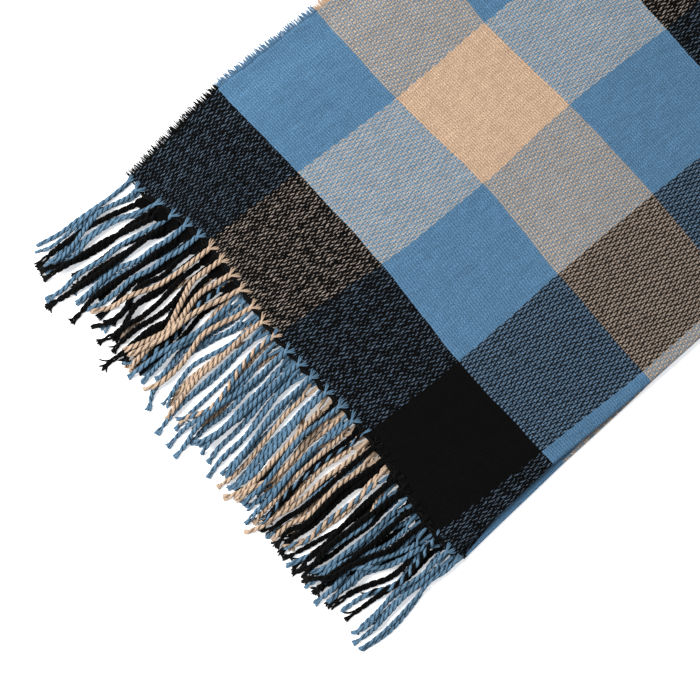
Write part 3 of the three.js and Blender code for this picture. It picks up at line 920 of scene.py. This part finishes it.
def settle(route, root_height, root_length):
    """How high each point of a tassel lies on what is already there, and adds it to the pile."""
    i, j, _ = pile_cells(route, ROPE_TOUCH)
    wanted = pile[i, j].max(axis=1) + ROPE_HALF
    distance = np.arange(len(route), dtype=float)
    wanted[: root_length + 1] = root_height
    apart = np.abs(distance[:, None] - distance[None, :])
    lie = (wanted[None, :] - ROPE_STEEPEST * apart).max(axis=1)
    kernel = np.array([1, 2, 3, 2, 1]) / 9.0
    padded = np.pad(lie, 2, mode="edge")
    lie = np.maximum(np.convolve(padded, kernel, mode="valid"), ROPE_LOWEST)
    i, j, away = pile_cells(route[root_length:], ROPE_SPAN)
    round_top = np.sqrt(np.clip(1 - (away / (ROPE_SPAN + 0.2)) ** 2, 0, 1))
    crown = lie[root_length:, None] + ROPE_CROWN * round_top
    np.maximum.at(pile, (i, j), crown)
    return lie


def rope_frames(line):
    run = np.gradient(line, axis=0)
    run /= np.linalg.norm(run, axis=1)[:, None]
    side = np.cross(run, [0, 0, 1.0])
    side /= np.linalg.norm(side, axis=1)[:, None]
    return run, side, np.cross(side, run)


def rings_round(line, side, up, turn, thick):
    """Rings of points round a line, as (steps, sides, 3)."""
    ring = (
        side[:, None, :] * np.cos(turn)[None, :, None] + up[:, None, :] * np.sin(turn)[None, :, None]
    )
    return line[:, None, :] + ring * thick[:, None, None]


def resample(line, count):
    gone = np.concatenate([[0], np.cumsum(np.linalg.norm(np.diff(line, axis=0), axis=1))])
    even = np.linspace(0, gone[-1], count)
    return np.stack([np.interp(even, gone, line[:, k]) for k in range(3)], axis=1), even


def add_yarn(heap, line, radius, sides=6):
    """One yarn end: a thin tube, cut off blunt."""
    _, side, up = rope_frames(line)
    share = np.linspace(0, 1, len(line))
    thick = radius * (1 + 0.12 * share - 0.1 * share**4)
    thick[0] *= 0.6
    thick[-1] *= 0.55
    turn, whole_turn = round_the_tube(sides)
    rings = rings_round(line, side, up, turn, thick)
    rings[..., 2] = np.maximum(rings[..., 2], JUST_OVER_FLOOR)
    far = np.linalg.norm(np.diff(line, axis=0, prepend=line[:1]), axis=1).cumsum()
    # Painted light: the place round the yarn is turned so that its upper side is lightest and its
    # underside has painted shade.
    across = (whole_turn - np.pi / 2 + 2 * np.pi * chance.integers(0, 9)) * ROUND_MM
    places = np.stack(np.broadcast_arrays(far[:, None], across[None, :]), axis=-1)
    heap.add_tube(rings, places)


# How each colour's tassels end: how much of the tip has come apart, the share of a strand's
# thickness left there, the yarn ends of each strand, their length and how far they fan out.
TIPS = {
    "blue": dict(open=7.0, left=0.82, ends=5, short=3.0, long=5.5, fan=0.20, curl=0.25),
    "tan": dict(open=7.0, left=0.85, ends=5, short=2.5, long=5.0, fan=0.22, curl=0.25),
    "black": dict(open=12.0, left=0.62, ends=4, short=6.0, long=11.0, fan=0.24, curl=0.45),
}


def add_tassel(heaps, colours, fork, route, height, root_width, fork_length, steps, sides):
    """A tassel of two twisted strands. It forks where it leaves the cloth, and it comes apart
    into its yarns at the tip."""
    line = np.column_stack([route[:, 0] + SLIDE_X, SLIDE_Y - route[:, 1], height])
    line, gone = resample(line, steps)
    long = gone[-1]
    run, side, up = rope_frames(line)
    twist = chance.uniform(TWIST_SHORTEST, TWIST_LONGEST)
    opening = smoothstep(gone, 0, fork_length)
    first_turn = chance.uniform(-0.3, 0.3)
    splay = chance.uniform(0.0, 0.5)
    weight = chance.uniform(0.9, 1.1) * (0.72 if fork < THIN_FORK else 1.0)
    turn, whole_turn = round_the_tube(sides)
    twisted = np.clip(gone - fork_length * 0.6, 0, None)
    for k, colour in enumerate(strand_colours(colours)):
        tip = TIPS[colour]
        loose = smoothstep(gone, long - 1.6 * tip["open"], long - 1.5)
        rate = 1 - 0.45 * loose
        turned = np.concatenate([[0], np.cumsum(np.diff(twisted) * (rate[1:] + rate[:-1]) / 2)])
        out = fork * (1 - opening) + STRAND_OUT * weight * opening + splay * loose
        phase = first_turn * opening + np.pi * k + 2 * np.pi * turned / twist
        level = np.sin(phase) * (1 - 0.5 * loose)
        radial = side * np.cos(phase)[:, None] + up * level[:, None]
        tangent = -side * np.sin(phase)[:, None] + up * np.cos(phase)[:, None]
        middle = line + radial * out[:, None]
        middle[:, 2] = np.maximum(middle[:, 2], 0.9)
        root_thick = root_width * (1.2 if colour == "black" else 0.6)
        thick = root_thick * (1 - opening) + STRAND_THICK * opening
        wide = 0.6 * (1 - opening) + STRAND_WIDE * opening
        wide = wide + (STRAND_THICK - wide) * loose
        uneven = 1 + 0.05 * np.sin(gone / 3.1 + 5 * k + long) + 0.04 * np.sin(gone / 1.3 + long)
        fluff = 1.18 if colour == "black" else 1.0
        slim = weight * fluff * uneven * (0.6 + 0.4 * smoothstep(gone, 0, 3))
        slim = slim * (1 - (1 - tip["left"]) * loose)
        lobes = 1 + 0.075 * np.cos(4 * turn[None, :] - 2 * np.pi * gone[:, None] / 6.5)
        ring = (
            radial[:, None, :] * (np.cos(turn)[None, :] * thick[:, None] * lobes)[:, :, None]
            + tangent[:, None, :] * (np.sin(turn)[None, :] * wide[:, None] * lobes)[:, :, None]
        )
        rings = middle[:, None, :] + ring * slim[:, None, None]
        rings[..., 2] = np.maximum(rings[..., 2], JUST_OVER_FLOOR)
        # The place round a strand is set so that its painted crevice shade falls on its side towards the
        # other strand.
        across = (whole_turn[None, :] + 2 * np.pi * chance.integers(0, 9)) * ROUND_MM
        places = np.stack(np.broadcast_arrays(gone[:, None] * 1.15, across), axis=-1)
        kept = np.flatnonzero(gone <= long - 0.45 * tip["short"])
        heaps[colour].add_tube(rings[kept], places[kept])
        add_tip(heaps[colour], tip, middle, run, side, up, gone, long)


def add_tip(heap, tip, middle, run, side, up, gone, long):
    """The yarns of one strand, where it comes apart."""
    heading = chance.normal(0, tip["fan"] * 0.6)
    for n in range(tip["ends"]):
        reach = chance.uniform(tip["short"], tip["long"])
        start = int(np.searchsorted(gone, long - reach * 0.85))
        lean = heading + chance.normal(0, tip["fan"])
        bend = chance.normal(0, tip["curl"])
        steps = 7
        share = np.linspace(0, 1, steps)
        around = 2 * np.pi * n / tip["ends"]
        outward = side[start] * math.cos(around) + up[start] * math.sin(around)
        begin = middle[start] + 0.5 * outward
        angle = lean * share**0.7 + bend * share**2
        stride = reach / (steps - 1)
        flat_run = run[start] * np.array([1, 1, 0])
        direction = flat_run * np.cos(angle)[:, None] + side[start] * np.sin(angle)[:, None]
        line = begin + np.cumsum(direction * stride, axis=0) - direction[0] * stride
        low = YARN_RADIUS + 0.45 * (n % 3)
        line[:, 2] = low + (begin[2] - low) * (1 - share) ** 1.2
        add_yarn(heap, line, YARN_RADIUS * chance.uniform(0.9, 1.2))


def fringe_line(offset):
    """How far along each place across is, on the line a layer is cut at."""
    across = np.linspace(-10, 380, 391)
    x, y = flat_lie(offset, across)
    order = np.argsort(-y)
    return lambda at: np.interp(at, -y[order], x[order])


def root_yarns(heap, first, start, lean, side, height):
    """The separate yarns that a strand gathers where the tassel leaves the cloth."""
    share = np.linspace(0, 1, 7)
    for n in range(3):
        spread = side * (0.5 + 0.4 * n) + chance.uniform(-0.4, 0.4)
        inset = chance.uniform(1.0, 3.6)
        past = first + inset - (inset + 5.0) * share
        across = start + spread * (1 - smoothstep(share, 0, 1)) + lean * share
        rise = height + 0.15 + 0.45 * np.sin(np.pi * share)
        line = np.column_stack([past + SLIDE_X, SLIDE_Y - across, rise])
        add_yarn(heap, line, 0.48, sides=5)


def lay_tassels(
    heaps, tassels, offset, root_height, inset, root, steps=96, sides=12, with_root_yarns=False
):
    """Tassels with their routes given. Each starts on its layer, a little way in from its end."""
    edge = fringe_line(offset)
    spread, root_width, fork_length = root
    for colours, fork, *places in tassels:
        start = places[0][1]
        first = float(edge(start))
        lean = (places[1][1] - start) * 0.35
        starts = [(first + inset, start), (first - 2.5, start + lean)]
        route = smooth_route(starts + [p for p in places[1:] if p[0] < first - 6])
        height = settle(route, root_height(start), int(inset + 1))
        fork_here = fork * spread
        add_tassel(
            heaps, colours, fork_here, route, height, root_width, fork_length, steps, sides
        )
        if not with_root_yarns:
            continue
        for k, colour in enumerate(strand_colours(colours)):
            side = fork * (1 - 2 * k)
            root_yarns(heaps[colour], first, start, lean, side, root_height(start))


def hidden_tassels(stripes, side, fold, seed_routes, reach):
    """Tassels of the lower layers. They lie under the others, mostly in the same bunches."""
    made = []
    count = int((fold - side) / TASSEL_PITCH)
    pitch = (fold - side) / count
    for n in range(count):
        root = side + (n + 0.5) * pitch + chance.uniform(-1, 1)
        near = sorted(seed_routes, key=lambda t: abs(t[2][1] - root))[int(chance.integers(0, 2))]
        guide = smooth_route(near[2:])
        beside = chance.uniform(-3.5, 3.5)
        long = reach + chance.uniform(-9, 6)
        places = [(0.0, root)]
        for far in np.arange(12, long, 14):
            at = guide[min(int(far), len(guide) - 1)]
            pull = float(smoothstep(far, 0, 34)) * 0.85
            bow = 1.8 * math.sin(far / 15.0 + n)
            places.append((-far, root * (1 - pull) + (at[1] + beside) * pull + bow))
        last = places[-1]
        places.append((-long, last[1] + chance.uniform(-2.5, 2.5)))
        stripe = stripes[min(int((root - side) / STRIPE_ACROSS), len(stripes) - 1)]
        made.append((f"{stripe} {stripe}", 2.9, *places))
    return made


def root_on_top(across):
    """Where a tassel of the upper layer starts, flat on the cloth."""
    return float(top_of_cloth(across) + softness(5.0, float(across))) + 0.3


def loose_pick(heap, number):
    """One of the last picks, that has slipped out and lies among the roots of the tassels."""
    across = np.arange(3 + 5 * number, 362 - 3 * number, 1.6)
    past = 0.6 + 0.85 * number + 0.9 * pulled(np.zeros(across.shape), across)
    past = past + 0.3 * np.sin(across / 2.3 + number) + 0.25 * np.sin(across / 5.1 + 2 * number)
    x, y = lie_of(-past, across)
    height = top_of_cloth(across) + softness(np.zeros(across.shape), across) - 0.55 - 0.35 * number
    height = height + 0.25 * np.sin(across / 1.9 + 2.4 * number)
    add_yarn(heap, np.stack([x, y, height], axis=1), 0.62, sides=5)


def build_fringe():
    upper = {c: Heap() for c in YARNS}
    lower = {c: Heap() for c in YARNS}
    guides = UPPER_TASSELS + SECOND_TASSELS
    fold = float(lower_fold_at(0))
    stripes = ["blue", "tan", "blue", "black", "blue"]
    lowest = hidden_tassels(stripes, HIDDEN_SIDE[0], fold, guides, 86)
    stripes = ["black", "blue", "tan", "blue"]
    third = hidden_tassels(stripes, HIDDEN_SIDE[1], fold, guides, 80)
    lay_tassels(lower, lowest, HIDDEN_END[0], lambda p: ROPE_LOWEST, 2, NEAT_ROOT, 60, 8)
    on_third = LEVEL + 1.2
    lay_tassels(lower, third, HIDDEN_END[1], lambda p: on_third, 2, LOOSE_ROOT, 60, 8)
    lay_tassels(lower, THIRD_TASSELS, HIDDEN_END[1], lambda p: on_third, 2, LOOSE_ROOT, 80, 10)
    lay_tassels(upper, SECOND_TASSELS, HIDDEN_END[2], lambda p: 2 * LEVEL + 1.1, 0.8, LOOSE_ROOT)
    lay_tassels(upper, UPPER_TASSELS, 0, root_on_top, 2.5, NEAT_ROOT, with_root_yarns=True)
    lay_tassels(upper, LAST_TASSELS, HIDDEN_END[2], lambda p: 2 * LEVEL + 1.4, 3, LOOSE_ROOT)
    for n in range(4):
        loose_pick(upper["black"], n)
    pieces = {}
    nodes = {"blue": (1, 3, 5), "tan": (2,), "black": (4,)}
    pairs = [("upper", upper, "fringe_top"), ("lower", lower, "fringe_bottom")]
    for colour, material in YARNS.items():
        for pair, heaps, node in pairs:
            piece = heaps[colour].piece(f"{pair}_fringe_{colour}", material)
            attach(piece, "root")
            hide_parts(*[f"{node}_{n}" for n in nodes[colour]])
            pieces[pair, colour] = piece
    return pieces


# ------------------------------------------------------------------ the frayed open side
ENDS_TO_A_PICK = 4
END_SHORTEST = 4.2
END_LONGEST = 7.2
END_RADIUS = 0.37
END_TIP_RADIUS = 0.2
END_INSET = 1.2  # how far in from the edge of the cloth a weft end starts


def frayed_ends(name, side, height, starts, first, last):
    """The cut ends of the weft: short loose yarns in a dense comb, each of its pick's colour."""
    heap = Heap()
    count = int((last - first) / WEFT_PITCH * ENDS_TO_A_PICK)
    sides, steps = 4, 4
    turn, _ = round_the_tube(sides)
    share = np.linspace(0, 1, steps)
    for n in range(count):
        on_cloth = first + (n + 0.5) * WEFT_PITCH / ENDS_TO_A_PICK
        number = math.floor((on_cloth + starts) / WEFT_PITCH) + 0.5
        long = chance.uniform(END_SHORTEST, END_LONGEST)
        x, y = (float(v) for v in lie_of(on_cloth, side))
        slant = chance.normal(-0.15, 0.14)
        bend = chance.normal(0, 0.3)
        away = -END_INSET + share * (long + END_INSET)
        rise = chance.uniform(-0.35, 0.35)
        line = np.stack(
            [x + slant * away + bend * share**2, y + away, height + rise - 0.4 * share**2], axis=1
        )
        _, beside, up = rope_frames(line)
        thick = END_RADIUS * (1 - 0.2 * share**2)
        thick[-1] = END_TIP_RADIUS
        rings = rings_round(line, beside, up, turn, thick)
        places = np.zeros((steps, sides + 1, 2))
        places[..., 0] = number * WEFT_PITCH
        places[..., 1] = away[:, None] + 3 * n
        heap.add_tube(rings, places)
    return heap.piece(name, WEFT_ENDS)


# ------------------------------------------------------------------ the scarf
cloth = upper_cloth()
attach(cloth, "root")
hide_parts("top_layer")

below = layers_below()
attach(below, "root")
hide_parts("hidden_layers")

fringe = build_fringe()

frayed_upper = frayed_ends("frayed_side_upper", 0, LEVEL + 0.85, 0, 1, FOLDED_LENGTH - PAIR)
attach(frayed_upper, "root")
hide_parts("frayed_side_top")

frayed_lower = frayed_ends(
    "frayed_side_lower", HIDDEN_SIDE[0], 0.9, LOWER_PAIR_STARTS, 3, FOLDED_LENGTH - PAIR
)
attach(frayed_lower, "root")
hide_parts("frayed_side_bottom")

# ------------------------------------------------------------------ floor, light and camera
bpy.ops.object.select_all(action="DESELECT")
bpy.ops.mesh.primitive_plane_add(size=80.0, location=(0, 0, 0))
floor = bpy.context.object
floor.name = "floor"
paper = bpy.data.materials.new("white paper")
paper.use_nodes = True
paper_shader = paper.node_tree.nodes["Principled BSDF"]
paper_shader.inputs["Base Color"].default_value = (0.9, 0.9, 0.9, 1)
paper_shader.inputs["Roughness"].default_value = 0.9
paper_shader.inputs["Specular IOR Level"].default_value = 0.1
paper_shader.inputs["Emission Color"].default_value = (0.93, 0.96, 1.0, 1)
paper_shader.inputs["Emission Strength"].default_value = 0.4
floor.data.materials.append(paper)

VIEW_TURN = math.radians(-39.7)
VIEW_WIDTH = 0.4977
VIEW_ALONG, VIEW_ACROSS = 38.5, 203.0
LENS = 100
SENSOR = 36
SCARF_TOP = 0.0073
aim_x = (VIEW_ALONG + SLIDE_X) * MM
aim_y = (SLIDE_Y - VIEW_ACROSS) * MM

camera_data = bpy.data.cameras.new("camera")
camera_data.lens = LENS
camera_data.sensor_width = SENSOR
camera_data.clip_end = 200
camera = bpy.data.objects.new("camera", camera_data)
camera.location = (aim_x, aim_y, VIEW_WIDTH * LENS / SENSOR + SCARF_TOP)
camera.rotation_euler = (0, 0, VIEW_TURN)
bpy.context.scene.collection.objects.link(camera)
bpy.context.scene.camera = camera


def soft_light(name, direction, size, power):
    data = bpy.data.lights.new(name, "AREA")
    data.shape = "DISK"
    data.size = size
    data.energy = power
    light = bpy.data.objects.new(name, data)
    aim = np.array([aim_x, aim_y, 0])
    place = aim + np.array(direction)
    light.location = place
    light.rotation_euler = Vector(aim - place).to_track_quat("-Z", "Y").to_euler()
    bpy.context.scene.collection.objects.link(light)


soft_light("window", (-0.7, 0.95, 1.3), 1.1, 58)
world = bpy.data.worlds.new("room")
world.use_nodes = True
world.node_tree.nodes["Background"].inputs[0].default_value = (1, 1, 1, 1)
world.node_tree.nodes["Background"].inputs[1].default_value = 0.62
bpy.context.scene.world = world
bpy.context.scene.view_settings.view_transform = "Standard"
